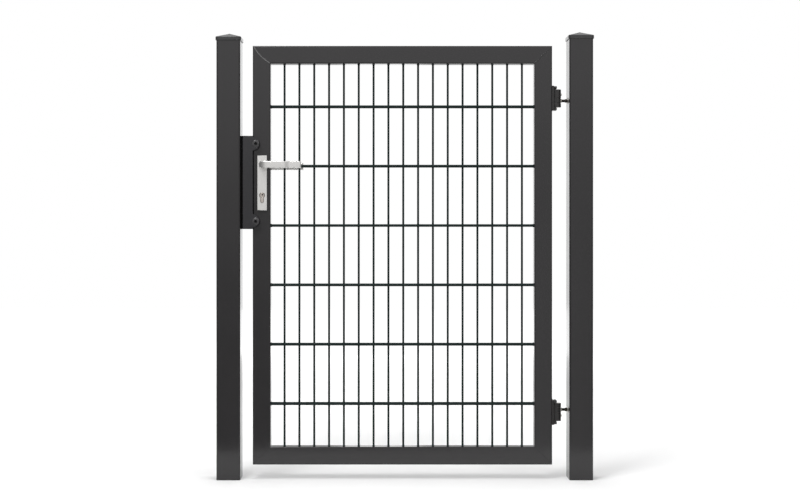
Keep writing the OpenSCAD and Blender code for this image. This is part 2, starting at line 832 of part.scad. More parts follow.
lock_post();
lock_post_cap();
hinge_post();
hinge_post_cap();
keep_spacer();
keep_body();
upper_keep_bolt();
lower_keep_bolt();
upper_stop_buffer();
lower_stop_buffer();
upper_stop_screw();
lower_stop_screw();
upper_eye_bolt();
lower_eye_bolt();
upper_lock_collar();
lower_lock_collar();
upper_post_insert();
lower_post_insert();
lock_stile();
hinge_stile();
top_rail();
bottom_rail();
mesh_panel();
lock_case();
lock_forend();
forend_screws();
latch_bolt();
dead_bolt();
front_handle_plate();
back_handle_plate();
handle_screws();
lock_cylinder();
upper_hinge_bracket();
lower_hinge_bracket();
upper_hinge_pin();
lower_hinge_pin();
upper_hinge_screws();
lower_hinge_screws();
upper_set_screw();
lower_set_screw();
front_lever();
back_lever();
spindle();
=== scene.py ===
"""Looks of a single-leaf garden gate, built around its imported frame.

The frame is in metres; the pieces here are drawn in millimetres and scaled as they are made.
The front faces -Y, +Z is up, and the leaf hangs on the post at the origin.
"""
import json
import math

import bmesh
import bpy
from mathutils import Matrix, Vector
from mathutils.geometry import tessellate_polygon


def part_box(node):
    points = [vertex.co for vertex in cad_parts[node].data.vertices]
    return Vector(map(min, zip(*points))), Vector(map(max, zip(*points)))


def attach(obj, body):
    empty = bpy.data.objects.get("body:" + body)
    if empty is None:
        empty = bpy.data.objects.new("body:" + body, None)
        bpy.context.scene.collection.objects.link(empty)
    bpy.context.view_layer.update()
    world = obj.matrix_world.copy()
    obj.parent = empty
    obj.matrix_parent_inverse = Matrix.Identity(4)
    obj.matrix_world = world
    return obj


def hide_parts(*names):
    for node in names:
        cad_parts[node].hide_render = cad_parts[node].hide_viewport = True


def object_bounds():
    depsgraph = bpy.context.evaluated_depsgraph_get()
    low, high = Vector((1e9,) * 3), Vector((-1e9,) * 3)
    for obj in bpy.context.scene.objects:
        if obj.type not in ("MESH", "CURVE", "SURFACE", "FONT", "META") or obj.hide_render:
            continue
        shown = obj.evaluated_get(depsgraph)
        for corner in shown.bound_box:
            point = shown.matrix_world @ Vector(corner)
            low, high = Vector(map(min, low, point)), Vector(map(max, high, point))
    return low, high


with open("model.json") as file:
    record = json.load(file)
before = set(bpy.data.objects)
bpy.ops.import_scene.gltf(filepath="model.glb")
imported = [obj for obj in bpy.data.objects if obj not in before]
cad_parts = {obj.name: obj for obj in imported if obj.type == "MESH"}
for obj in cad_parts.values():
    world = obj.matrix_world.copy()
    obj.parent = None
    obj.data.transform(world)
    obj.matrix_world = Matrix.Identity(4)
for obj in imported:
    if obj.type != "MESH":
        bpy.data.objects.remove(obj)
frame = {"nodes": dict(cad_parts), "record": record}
cad_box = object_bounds()
MM = 0.001


# ---- Camera ----

CAMERA_AWAY = 4.341          # in front of the gate's middle plane
CAMERA_HEIGHT = 0.841
CAMERA_LEFT = 0.078          # left of the gate's middle
LENS_MM = 57.95
SENSOR_MM = 36.0
SHIFT_X = 0.0232
SHIFT_Y = -0.0269


def set_camera():
    low, high = cad_box
    data = bpy.data.cameras.new("camera")
    data.lens = LENS_MM
    data.sensor_width = SENSOR_MM
    data.shift_x = SHIFT_X
    data.shift_y = SHIFT_Y
    camera = bpy.data.objects.new("camera", data)
    bpy.context.scene.collection.objects.link(camera)
    camera.location = ((low[0] + high[0]) / 2 - CAMERA_LEFT, -CAMERA_AWAY, CAMERA_HEIGHT)
    camera.rotation_euler = (math.radians(90), 0, 0)
    bpy.context.scene.camera = camera


set_camera()


# ---- Shader maths ----

MIX_SHARE, MIX_FIRST, MIX_SECOND, MIX_COLOUR = 0, 6, 7, 2    # where a Mix node keeps its colour sockets


class Value:
    """An output of a node, which can be used in an expression."""

    def __init__(self, nodes, socket):
        self.nodes = nodes
        self.socket = socket

    def output(self, name):
        """Another output of the same node."""
        return Value(self.nodes, self.socket.node.outputs[name])

    def _math(self, operation, *values):
        return self.nodes.add("ShaderNodeMath", {"operation": operation}, dict(enumerate(values)))

    def __add__(self, other):
        return self._math("ADD", self, other)

    def __sub__(self, other):
        return self._math("SUBTRACT", self, other)

    def __rsub__(self, other):
        return self._math("SUBTRACT", other, self)

    def __mul__(self, other):
        return self._math("MULTIPLY", self, other)

    def __or__(self, other):
        return self._math("MAXIMUM", self, other)

    __radd__ = __add__
    __rmul__ = __mul__


class Nodes:
    """A node tree: add() adds a node and returns its first output."""

    def __init__(self, tree):
        self.tree = tree

    def add(self, kind, settings=None, values=None):
        node = self.tree.nodes.new(kind)
        for key, setting in (settings or {}).items():
            setattr(node, key, setting)
        for key, value in (values or {}).items():
            self.put(node.inputs[key], value)
        return Value(self, node.outputs[0])

    def put(self, socket, value):
        if isinstance(value, Value):
            self.tree.links.new(value.socket, socket)
        elif isinstance(value, tuple) and len(value) == 3 and socket.type == "RGBA":
            socket.default_value = (*value, 1)
        else:
            socket.default_value = value

    def blend(self, share, first, second):
        """A colour between two colours."""
        values = {MIX_SHARE: share, MIX_FIRST: first, MIX_SECOND: second}
        return self.add("ShaderNodeMix", {"data_type": "RGBA"}, values).output(MIX_COLOUR)

    def ease(self, value, low, high):
        """0 below low, 1 above high, and a smooth step between them."""
        values = {"Value": value, "From Min": low, "From Max": high}
        return self.add("ShaderNodeMapRange", {"interpolation_type": "SMOOTHSTEP"}, values)


class Finish(Nodes):
    """A material with one Principled shader."""

    def __init__(self, name):
        self.material = bpy.data.materials.new(name)
        self.material.use_nodes = True
        super().__init__(self.material.node_tree)
        self.surface = self.tree.nodes["Principled BSDF"]
        self.place = self.add("ShaderNodeTexCoord").output("Object")

    def noise(self, per_metre, detail=2, stretch=(1, 1, 1)):
        """Noise between 0 and 1; a small factor of stretch draws its features out along that axis."""
        place = self.place
        if stretch != (1, 1, 1):
            place = self.add("ShaderNodeMapping", {}, {"Vector": place, "Scale": stretch})
        values = {"Vector": place, "Scale": per_metre, "Detail": detail}
        return self.add("ShaderNodeTexNoise", {}, values)

    def bump(self, height, depth, strength=1.0):
        """A normal for a surface that rises by the depth, in metres, where the height is 1."""
        values = {"Height": height, "Distance": depth, "Strength": strength}
        return self.add("ShaderNodeBump", {}, values)

    def set(self, **values):
        """Feeds the shader's inputs, whose names have a space where the keywords have _."""
        for key, value in values.items():
            self.put(self.surface.inputs[key.replace("_", " ")], value)
        return self.material


# ---- Finishes ----

def tones(tone, spread):
    """A darker and a lighter version of a colour, each off by a share of it."""
    return tuple(c * (1 - spread) for c in tone), tuple(c * (1 + spread) for c in tone)


def powder_coat(name, tone, roughness, peel=0.00004):
    """Baked powder: fine orange peel, slow clouds in tone and gloss, and a few specks of grit."""
    finish = Finish(name)
    clouds = finish.noise(9, detail=3)
    grit = finish.ease(finish.noise(700, detail=1), 0.70, 0.78)
    fine_peel = finish.noise(520)
    coarse_peel = finish.noise(140, detail=1)
    dark, light = tones(tone, 0.10)
    colour = finish.blend(clouds, dark, light)
    surface = fine_peel + coarse_peel * 0.8 + grit * 0.6
    return finish.set(
        Base_Color=finish.blend(grit * 0.25, colour, light),
        Roughness=clouds * 0.06 + (roughness - 0.03) + grit * 0.1,
        Normal=finish.bump(surface, peel))


def dipped_wire(name, tone):
    """Wire that was galvanised and then coated: long soft runs along the wires."""
    finish = Finish(name)
    runs = finish.noise(60, stretch=(1, 1, 0.25))
    pimples = finish.noise(900, detail=1)
    dark, light = tones(tone, 0.22)
    return finish.set(
        Base_Color=finish.blend(runs, dark, light),
        Roughness=runs * 0.15 + 0.55,
        Specular_IOR_Level=0.1,
        Normal=finish.bump(runs + pimples * 0.2, 0.0001))


def brushed(name, tone, roughness, stretch, edge_roughness=None):
    """Metal brushed along one way; what faces neither front nor back can have its own roughness."""
    finish = Finish(name)
    lines = finish.noise(1500, detail=3, stretch=stretch)
    clouds = finish.noise(30)
    dark, light = tones(tone, 0.06)
    gloss = lines * 0.16 + clouds * 0.06 + (roughness - 0.11)
    if edge_roughness:
        sides = finish.add("ShaderNodeSeparateXYZ", {}, {"Vector": finish.place.output("Normal")})
        towards = sides.output("Y")
        flat = finish.ease(towards | towards * -1, 0.85, 0.98)
        gloss = gloss * flat + (1 - flat) * edge_roughness
    return finish.set(
        Base_Color=finish.blend(lines, dark, light),
        Roughness=gloss,
        Metallic=1.0,
        Normal=finish.bump(lines, 0.00003, strength=0.6))


def plated(name, tone, stain, roughness):
    """Plated steel: a cloudy passivated skin with darker stains."""
    finish = Finish(name)
    clouds = finish.noise(160, detail=4)
    specks = finish.noise(1400)
    return finish.set(
        Base_Color=finish.blend(finish.ease(clouds, 0.40, 0.72), tone, stain),
        Roughness=clouds * 0.22 + (roughness - 0.11),
        Metallic=1.0,
        Normal=finish.bump(specks, 0.00004))


def moulded(name, tone, roughness, grain, gloss=0.5):
    """Moulded rubber or plastic with a spark-eroded grain, as deep as grain in metres."""
    finish = Finish(name)
    grains = finish.noise(1100)
    clouds = finish.noise(40, detail=3)
    dark, light = tones(tone, 0.15)
    return finish.set(
        Base_Color=finish.blend(clouds, dark, light),
        Roughness=grains * 0.12 + (roughness - 0.06),
        Specular_IOR_Level=gloss,
        Normal=finish.bump(grains, grain))


ALUMINIUM = (0.90, 0.89, 0.87)
coat = powder_coat("anthracite_powder_coat", (0.0205, 0.0193, 0.0203), 0.13)
# A lighter coat that paints a highlight on the thick front weld bead, where its ripples catch the
# light.
weld_highlight_coat = powder_coat("painted_highlight_on_welds", (0.090, 0.088, 0.089), 0.25)
# A lighter coat on the stop washers, which paints the highlight on their domed rims.
washer_highlight_coat = powder_coat("painted_highlight_on_washers", (0.050, 0.048, 0.050), 0.22)
keep_coat = powder_coat("keep_powder_coat", (0.019, 0.0185, 0.021), 0.2)
hinge_coat = powder_coat("hinge_powder_coat", (0.022, 0.0205, 0.0205), 0.30, peel=0.0001)
wire_coat = dipped_wire("wire_coat", (0.011, 0.019, 0.018))
cap_plastic = moulded("cap_plastic", (0.025, 0.025, 0.026), 0.17, 0.00003)
rubber = moulded("black_rubber", (0.0025, 0.0025, 0.0025), 0.7, 0.00012, gloss=0.04)
satin = brushed("satin_aluminium", ALUMINIUM, 0.36, (1, 1, 0.02), edge_roughness=0.18)
satin_lever = brushed("satin_aluminium_lever", ALUMINIUM, 0.25, (0.02, 1, 1), edge_roughness=0.29)
forend_steel = brushed("forend_steel", (0.62, 0.61, 0.59), 0.33, (1, 1, 0.03))
zinc = plated("zinc_plate", (0.72, 0.70, 0.66), (0.50, 0.47, 0.42), 0.36)
nickel = plated("cylinder_nickel", (0.72, 0.66, 0.61), (0.60, 0.54, 0.49), 0.30)
# Dark steel for the eye bolts' threads and the lock collars, darker than the zinc.
thread_steel = plated("dark_steel_on_threads", (0.075, 0.066, 0.058), (0.03, 0.026, 0.022), 0.5)
# Near black for floors set into sockets, keyways and the plug's gap: painted shade in those recesses.
painted_recess_shade = moulded("painted_shade_in_recesses", (0.006, 0.006, 0.006), 0.6, 0.00005, gloss=0.1)

SLOT_FINISH = {
    "post_coating": coat, "frame_coating": coat, "keep_coating": keep_coat,
    "hinge_coating": hinge_coat, "wire_coating": wire_coat, "cap_plastic": cap_plastic,
    "black_rubber": rubber, "zinc_plate": zinc, "forend_steel": forend_steel,
    "cylinder_nickel": nickel, "satin_aluminium": satin,
}
slot_of = {entry["node"]: entry["material_slot"] for entry in frame["record"]["subparts"]}
for name, slot in slot_of.items():
    node = frame["nodes"][name]
    node.data.materials.clear()
    node.data.materials.append(SLOT_FINISH[slot])


# ---- Outlines, counter-clockwise as (x, y) in millimetres; a hole's outline is turned round ----

def arc(x, y, radius, start, stop, steps):
    """Points on an arc between two angles in degrees, both ends included."""
    angles = [math.radians(start + (stop - start) * i / steps) for i in range(steps + 1)]
    return [(x + radius * math.cos(a), y + radius * math.sin(a)) for a in angles]


def circle(radius, steps=48, x=0, y=0):
    return arc(x, y, radius, 0, 360, steps)[:-1]


def round_rect(width, height, radius, steps=6, x=0, y=0):
    right = width / 2 - radius
    top = height / 2 - radius
    corners = [(right, top, 0), (-right, top, 90), (-right, -top, 180), (right, -top, 270)]
    outline = []
    for corner_x, corner_y, start in corners:
        outline += arc(x + corner_x, y + corner_y, radius, start, start + 90, steps)
    return outline


def hexagon(across):
    return circle(across / math.sqrt(3), 6)


def inset(outline, distance):
    """The outline with each side moved to its left, which is into the material."""
    moved = []
    for i, point in enumerate(outline):
        here = Vector(point)
        before = (here - Vector(outline[i - 1])).normalized()
        after = (Vector(outline[(i + 1) % len(outline)]) - here).normalized()
        left_before = Vector((-before.y, before.x))
        left_after = Vector((-after.y, after.x))
        middle = left_before + left_after
        moved.append(tuple(here + middle * (2 * distance / middle.length_squared)))
    return moved


# ---- Solids, as (points, faces) ----

def loft(rings, closed=False):
    """A skin over rings of equal length; the first and last are capped, or joined if closed."""
    steps = len(rings[0])
    points = [point for ring in rings for point in ring]
    faces = []
    pairs = list(zip(range(len(rings) - 1), range(1, len(rings))))
    if closed:
        pairs.append((len(rings) - 1, 0))
    for low, high in pairs:
        for i in range(steps):
            j = (i + 1) % steps
            faces.append([low * steps + i, low * steps + j, high * steps + j, high * steps + i])
    if not closed:
        faces.append(list(range(steps))[::-1])
        faces.append([(len(rings) - 1) * steps + i for i in range(steps)])
    return points, faces


def lathe(profile, steps=48, closed=False):
    """A turned solid about +Z from (radius, z) pairs; closed makes a ring with a hole."""
    return loft([[(x, y, z) for x, y in circle(radius, steps)] for radius, z in profile], closed)


def rounded_ends(start, stop, edge, steps=3):
    """(inset, z) pairs of a solid from start to stop whose two end edges are rounded."""
    turns = [math.radians(90 * i / steps) for i in range(steps + 1)]
    low = [(edge * (1 - math.sin(t)), start + edge * (1 - math.cos(t))) for t in turns]
    return low + [(back, start + stop - z) for back, z in reversed(low)]


def rounded_top(height, edge, steps=3):
    """(inset, z) pairs of a rounded top edge alone."""
    return rounded_ends(0, height, edge, steps)[steps + 1:]


def rod(radius, start, stop, edge=0.4, steps=48):
    """A rod along Z with rounded ends."""
    return lathe([(radius - back, z) for back, z in rounded_ends(start, stop, edge)], steps)


def ring(inner, outer, start, stop, edge=0.4, steps=48):
    """A ring about Z with rounded edges."""
    ends = rounded_ends(start, stop, edge)
    outside = [(outer - back, z) for back, z in ends]
    inside = [(inner + back, z) for back, z in reversed(ends)]
    return lathe(outside + inside, steps, closed=True)


def slab(outlines, levels, hole_edge=0.4):
    """A plate drawn by outlines in XY, the first its edge and the rest holes.

    levels are (inset, z) pairs of the edge from the bottom up; a hole is inset by hole_edge at most.
    """
    points = []
    faces = []
    bottom = []
    top = []
    for number, outline in enumerate(outlines):
        limit = hole_edge if number else math.inf
        start = len(points)
        steps = len(outline)
        for back, z in levels:
            points += [(x, y, z) for x, y in inset(outline, min(back, limit))]
        for level in range(len(levels) - 1):
            for i in range(steps):
                low = start + level * steps
                j = (i + 1) % steps
                faces.append([low + i, low + j, low + steps + j, low + steps + i])
        bottom.append(list(range(start, start + steps)))
        top.append(list(range(len(points) - steps, len(points))))
    for end in (bottom, top):
        order = [index for outline in end for index in outline]
        for triangle in tessellate_polygon([[Vector(points[i]) for i in outline] for outline in end]):
            faces.append([order[i] for i in triangle])
    return points, faces


def thread(radius, start, stop, pitch, depth, steps=32):
    """A threaded rod along Z whose thread runs out at both ends."""
    per_turn = 8
    count = round((stop - start) / pitch * per_turn)
    rings = []
    for i in range(count + 1):
        z = start + (stop - start) * i / count
        fade = min(1, (z - start) / pitch, (stop - z) / pitch)
        row = []
        for k in range(steps):
            ridge = abs(2 * ((z / pitch - k / steps) % 1) - 1)
            out = radius - depth * (1 - ridge * fade)
            angle = 2 * math.pi * k / steps
            row.append((out * math.cos(angle), out * math.sin(angle), z))
        rings.append(row)
    return loft(rings)


SCREW_FOOT = 0.3             # chamfer under a screw's head
SOCKET_FLOOR = 0.25          # how high the floor of its socket lies, as a share of the head


def socket_screw(head_d, head_h, shank_d, shank_l, key, edge):
    """A screw with a hexagon socket, whose near-black floor paints the socket's shade: the head rises
    from z = 0 and the shank runs down.
    """
    levels = [(SCREW_FOOT, 0), (0, SCREW_FOOT)] + rounded_top(head_h, edge)
    head = slab([circle(head_d / 2), hexagon(key)[::-1]], levels, hole_edge=0.25)
    past_corners = 1.25 * key / 2
    # The socket's near-black floor paints the shade inside it.
    floor = rod(past_corners, -0.4, SOCKET_FLOOR * head_h, edge=0.1)
    shank = rod(shank_d / 2, -shank_l, 0, edge=0.5)
    return [head, (*floor, painted_recess_shade), shank]


# ---- Making a piece ----

FRONT = Matrix(((1, 0, 0, 0), (0, 0, -1, 0), (0, 1, 0, 0), (0, 0, 0, 1)))   # drawn in XZ, up is -Y
BACK = Matrix(((1, 0, 0, 0), (0, 0, 1, 0), (0, 1, 0, 0), (0, 0, 0, 1)))     # drawn in XZ, up is +Y
RIGHT = Matrix(((0, 0, 1, 0), (1, 0, 0, 0), (0, 1, 0, 0), (0, 0, 0, 1)))    # drawn in YZ, up is +X
LEFT = Matrix(((0, 0, -1, 0), (1, 0, 0, 0), (0, 1, 0, 0), (0, 0, 0, 1)))    # drawn in YZ, up is -X
UP = Matrix()


def box(node):
    """A node's lowest and highest corners in millimetres."""
    low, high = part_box(node)
    return Vector(low) / MM, Vector(high) / MM


def middle(node):
    low, high = box(node)
    return (low + high) / 2


class Piece:
    """Solids gathered into one object, each with the piece's finish or its own.

    A solid is (points, faces), or (points, faces, finish) where it differs from its neighbours.
    """

    def __init__(self):
        self.points = []
        self.faces = []
        self.finishes = []

    def add(self, solids, x=0, y=0, z=0, turn=UP, finish=None):
        place = Matrix.Translation((x, y, z)) @ turn
        for solid in solids if isinstance(solids, list) else [solids]:
            points, faces, own = solid if len(solid) == 3 else (*solid, finish)
            start = len(self.points)
            self.points += [place @ Vector(point) * MM for point in points]
            self.faces += [[start + i for i in face] for face in faces]
            self.finishes += [own] * len(faces)

    def make(self, name, body, slot, replaces=(), finish=None, sharp=38):
        """Builds the object; edges are drawn sharp from the angle sharp, in degrees, up."""
        mesh = bpy.data.meshes.new(name)
        mesh.from_pydata(self.points, [], self.faces)
        used = list(dict.fromkeys([None] + self.finishes))
        for own in used:
            mesh.materials.append(own or finish or SLOT_FINISH[slot])
        for face, own in zip(mesh.polygons, self.finishes):
            face.material_index = used.index(own)
        shells = bmesh.new()
        shells.from_mesh(mesh)
        bmesh.ops.recalc_face_normals(shells, faces=shells.faces)
        shells.to_mesh(mesh)
        shells.free()
        mesh.shade_smooth()
        mesh.set_sharp_from_angle(angle=math.radians(sharp))
        piece = bpy.data.objects.new(name, mesh)
        bpy.context.scene.collection.objects.link(piece)
        piece.modifiers.new("even_shading", "WEIGHTED_NORMAL").keep_sharp = True
        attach(piece, body)
        if replaces:
            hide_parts(*replaces)


def one_piece(node, body, solids, x=0, y=0, z=0, turn=UP, finish=None, sharp=38):
    """A piece that stands for one node and takes its slot."""
    piece = Piece()
    piece.add(solids, x, y, z, turn)
    piece.make(node + "_piece", body, slot_of[node], [node], finish, sharp)


# ---- Wire mesh ----

UPRIGHTS = 17
WIRE_PITCH = 50.0
UPRIGHT_R = 3.0
MESH_OFFSET = 3.0            # of the uprights from the opening's middle, towards the hinges
ROWS = 6
ROW_PITCH = 200.0
CROSS_R = 4.0
CROSS_Y = 6.8
WELD_FLARE = 1.5             # how much a wire's end thickens into its weld
COAT_BUILD = 0.5             # thickness of the coat on a wire
SPOT_R = 2.6                 # weld spots where the wires cross
SPOT_UP = 7.6                # their length along the upright
SPOT_ACROSS = 6.4            # and along the cross wire
SPOT_SINK = 0.1


def wire(radius, length):
    """A round wire along Z whose ends flare into their welds."""
    flare = [(WELD_FLARE, 0), (0.55 * WELD_FLARE, 1.0), (0.15 * WELD_FLARE, 2.5), (0, 4.5)]
    low = [(radius + COAT_BUILD + out, z) for out, z in flare]
    return lathe(low + [(r, length - z) for r, z in reversed(low)], steps=24)


def weld_spot(radius, length):
    """A small bulge along Z, with flat ends where it has sunk into the wires."""
    angles = [math.radians(15 + 150 * i / 6) for i in range(7)]
    return lathe([(radius * math.sin(a), -length / 2 * math.cos(a)) for a in angles], steps=12)


def make_mesh_wires():
    """Uprights between pairs of cross wires, welded where they cross and at the frame."""
    low, high = box("mesh_panel")
    centre = (low + high) / 2
    xs = [centre.x + MESH_OFFSET + (i - (UPRIGHTS - 1) / 2) * WIRE_PITCH for i in range(UPRIGHTS)]
    zs = [centre.z + (i - (ROWS - 1) / 2) * ROW_PITCH for i in range(ROWS)]
    upright = wire(UPRIGHT_R, high.z - low.z)
    cross_wire = wire(CROSS_R, high.x - low.x)
    spot_up = weld_spot(SPOT_R, SPOT_UP)
    spot_across = weld_spot(SPOT_R, SPOT_ACROSS)
    wires = Piece()
    for x in xs:
        wires.add(upright, x, 0, low.z)
    for z in zs:
        for side in (-1, 1):
            wires.add(cross_wire, low.x, side * CROSS_Y, z, RIGHT)
            for x in xs:
                wires.add(spot_up, x, side * (UPRIGHT_R - SPOT_SINK), z)
                wires.add(spot_across, x, side * (UPRIGHT_R - SPOT_SINK), z, RIGHT)
    wires.make("mesh_wires", "leaf", slot_of["mesh_panel"], ["mesh_panel"])


make_mesh_wires()


# ---- Leaf frame: weld beads over the mitres ----

BEAD_STEP = 0.55
BEAD_SIDES = 12
BEAD_RUN_OUTS = 12           # how many times a bead is as long as its run-out
RIPPLE_PITCH = 2.3
RIPPLE = 0.16                # as a share of the bead's height
MITRE_IN = 3.0               # of a mitre's bead from the frame's corner, both ways


def bead(start, stop, width, height, bow=0):
    """A weld bead in XY between two points, bowed to one side, with ripples along it."""
    start = Vector(start)
    along = Vector(stop) - start
    length = along.length
    along.normalize()
    aside = Vector((-along.y, along.x))
    count = round(length / BEAD_STEP)
    rings = []
    for i in range(count + 1):
        share = i / count
        run_out = math.sqrt(max(0.02, min(1, share * BEAD_RUN_OUTS, (1 - share) * BEAD_RUN_OUTS)))
        ripple = 1 + RIPPLE * math.cos(2 * math.pi * share * length / RIPPLE_PITCH)
        core = start + along * (share * length) + aside * (bow * math.sin(math.pi * share))
        row = []
        for k in range(BEAD_SIDES):
            angle = 2 * math.pi * k / BEAD_SIDES
            out = aside * (width / 2 * run_out * math.cos(angle))
            rise = height * run_out * ripple * math.sin(angle)
            row.append((core.x + out.x, core.y + out.y, rise))
        rings.append(row)
    return loft(rings)


def make_mitre_welds():
    """Beads on both faces of the frame; the one in front at the lock side's top is bowed and thick, and
    its lighter coat paints a highlight.
    """
    low = box("lock_stile")[0]
    high = box("hinge_stile")[1]
    face = high.z - box("top_rail")[0].z
    beads = Piece()
    for x, side_x in ((low.x, 1), (high.x, -1)):
        for z, side_z in ((low.z, 1), (high.z, -1)):
            start = (x + side_x * MITRE_IN, z + side_z * MITRE_IN)
            stop = (x + side_x * (face - 1), z + side_z * (face - 1))
            if side_x > 0 > side_z:
                thick = bead(start, stop, width=4.2, height=0.8, bow=-5.5)
                # The lighter coat on this bead paints its highlight.
                beads.add(thick, 0, low.y, 0, FRONT, weld_highlight_coat)
            else:
                beads.add(bead(start, stop, width=3.2, height=0.2), 0, low.y, 0, FRONT)
            beads.add(bead(start, stop, width=3.2, height=0.3), 0, high.y, 0, BACK)
    beads.make("mitre_welds", "leaf", slot_of["top_rail"])


make_mitre_welds()


# ---- Post caps ----

CAP_W = 86.0
CAP_R = 8.7                  # of the collar's corners in plan
CAP_WALL = 2.7
CAP_LAP = 10.0               # how far the post's end reaches into the collar
CAP_FOOT = 0.5               # chamfer round the collar's foot
COLLAR_H = 12.0
COLLAR_EDGE = 2.2
PYRAMID_W = CAP_W - 4.8
PYRAMID_H = 14.4
PYRAMID_R = 2.6              # of its corners in plan, at the foot


def cap():
    """A moulded cap from the bottom of its collar, about its middle: a collar under a pyramid."""
    inner = CAP_W - 2 * CAP_WALL
    inner_r = CAP_R - CAP_WALL
    rows = [(inner, inner_r, CAP_LAP), (inner, inner_r, CAP_FOOT),
            (inner + 2 * CAP_FOOT, inner_r + CAP_FOOT, 0),
            (CAP_W - 2 * CAP_FOOT, CAP_R - CAP_FOOT, 0), (CAP_W, CAP_R, CAP_FOOT)]
    rows += [(CAP_W - 2 * back, CAP_R - back, z) for back, z in rounded_top(COLLAR_H, COLLAR_EDGE, 4)]
    rows += [(PYRAMID_W, CAP_R - PYRAMID_R, COLLAR_H + 0.1), (PYRAMID_W - 2.5, 3.4, COLLAR_H + 0.55)]
    for share in (0.15, 0.4, 0.65, 0.85):
        corner = PYRAMID_R * (1 - 0.6 * share)
        rows.append((PYRAMID_W * (1 - share), corner, COLLAR_H + PYRAMID_H * share))
    rows += [(PYRAMID_W * 0.06, 0.9, COLLAR_H + PYRAMID_H * 0.955),
             (PYRAMID_W * 0.025, 0.5, COLLAR_H + PYRAMID_H * 0.985)]
    return loft([[(x, y, z) for x, y in round_rect(size, size, radius)] for size, radius, z in rows])


for post in ("lock_post_cap", "hinge_post_cap"):
    low, high = box(post)
    one_piece(post, "posts", cap(), (low.x + high.x) / 2, (low.y + high.y) / 2, low.z, sharp=30)


# ---- Keep ----

KEEP_W = 35.5                # of the front flange
KEEP_BACK_W = 27.0           # and of the back one
KEEP_WALL = 4.0
KEEP_EDGE = 1.6              # rounding of the sheet's edges
KEEP_CORNER = 0.8
EAR_R = 22.0
EAR_SHOULDER = 5.0           # from the flange's end to its ear
EAR_FILLET = 3.0             # between the ear and the flange
EAR_START = -84              # degrees at which an ear's round leaves the flange's edge


def keep_front_outline(height):
    """The front flange with its two ears, from its left edge, and its middle at y = 0."""
    half = height / 2
    ear = half - EAR_SHOULDER - EAR_R
    notch = math.degrees(math.asin(EAR_FILLET / EAR_R))
    lower = arc(KEEP_W, -ear, EAR_R, EAR_START, 90 - notch, 20)
    lower += arc(KEEP_W + EAR_FILLET, -ear + EAR_R + EAR_FILLET, EAR_FILLET, 270, 180, 4)
    upper = [(x, -y) for x, y in reversed(lower)]
    return [(0, -half), (KEEP_W, -half)] + lower + upper + [(KEEP_W, half), (0, half)]


def make_keep():
    """A channel: a front flange with two ears, a web against the post and a back flange."""
    low, high = box("keep_body")
    depth = high.y - low.y
    height = high.z - low.z
    centre_z = (low.z + high.z) / 2
    levels = rounded_ends(0, KEEP_WALL, KEEP_EDGE)
    front = slab([keep_front_outline(height)], levels)
    web = slab([round_rect(depth, height, KEEP_CORNER, 3)], levels)
    back = slab([round_rect(KEEP_BACK_W, height, KEEP_CORNER, 3)], levels)
    keep = Piece()
    keep.add(front, low.x, low.y + KEEP_WALL, centre_z, FRONT)
    keep.add(web, low.x, low.y + depth / 2, centre_z, RIGHT)
    keep.add(back, low.x + KEEP_BACK_W / 2, high.y - KEEP_WALL, centre_z, BACK)
    keep.make("keep_body_piece", "posts", slot_of["keep_body"], ["keep_body"])


make_keep()


STOP_WASHER_T = 1.5
STOP_HEAD_H = 2.0
KEEP_BOLT_HEAD_H = 5.0


def make_stops():
    """In each ear a rubber buffer behind and a screw in front on a washer whose lighter coat paints a
    highlight, and a bolt that holds the keep.
    """
    for side in ("upper", "lower"):
        centre = middle(side + "_stop_buffer")
        low, high = box(side + "_stop_buffer")
        radius = (high.x - low.x) / 2
        length = high.y - low.y
        profile = [(radius - 2.2, 0), (radius - 1.2, 0.5), (radius - 0.6, 1.6), (radius - 0.2, 3.5),
                   (radius, length / 2)]
        profile += [(r, length - z) for r, z in reversed(profile[:-1])]
        one_piece(side + "_stop_buffer", "posts", lathe(profile), centre.x, low.y, centre.z, BACK)

        screw_node = side + "_stop_screw"
        low, high = box(screw_node)
        rim = radius - 0.2
        bore = 3.0
        dome = [(rim, 0), (rim, 0.2), (rim - 0.5, 0.7), (rim - 1.4, 1.15), (rim - 2.6, 1.4),
                (rim - 4, STOP_WASHER_T)]
        washer = lathe([(bore, 0)] + dome + [(bore, STOP_WASHER_T)], steps=64, closed=True)
        screw = socket_screw(head_d=11, head_h=STOP_HEAD_H, shank_d=2 * bore,
                             shank_l=high.y - low.y - STOP_HEAD_H, key=8, edge=0.7)
        head_y = low.y + STOP_HEAD_H
        piece = Piece()
        # The washer's lighter coat paints the highlight on its rim.
        piece.add(washer, centre.x, head_y + STOP_WASHER_T, centre.z, FRONT, washer_highlight_coat)
        piece.add(screw, centre.x, head_y, centre.z, FRONT)
        piece.make(screw_node + "_piece", "posts", slot_of[screw_node], [screw_node])

        low, high = box(side + "_keep_bolt")
        centre = middle(side + "_keep_bolt")
        bolt = socket_screw(head_d=14, head_h=KEEP_BOLT_HEAD_H, shank_d=8,
                            shank_l=high.x - low.x - KEEP_BOLT_HEAD_H, key=6, edge=2.2)
        one_piece(side + "_keep_bolt", "posts", bolt,
                  high.x - KEEP_BOLT_HEAD_H, centre.y, centre.z, RIGHT)


make_stops()


# ---- Lock ----

PLATE_W = 32.0
PLATE_H = 184.0
PLATE_T = 8.0
PLATE_CORNER = 0.8
PLATE_CHAMFER = 0.8
PLATE_SCREW_D = 9.0
PLATE_SCREW_H = 2.0
NECK_R = 7.0
NECK_GAP = 0.3
BOSS_H = 3.0                 # of the ring that stands on the plate round a lever's neck
BOSS_R = NECK_R + 1.6
CYLINDER_R = 8.5
CYLINDER_H = 33.0
WEB_R = 5.0
PLUG_R = 6.6
PLUG_GAP = 0.7
PLUG_PROUD = 0.3
KEYWAY_L = 11.0

lever_axis = middle("spindle")
cylinder_low, cylinder_high = box("lock_cylinder")
cylinder_z = cylinder_high.z - CYLINDER_R


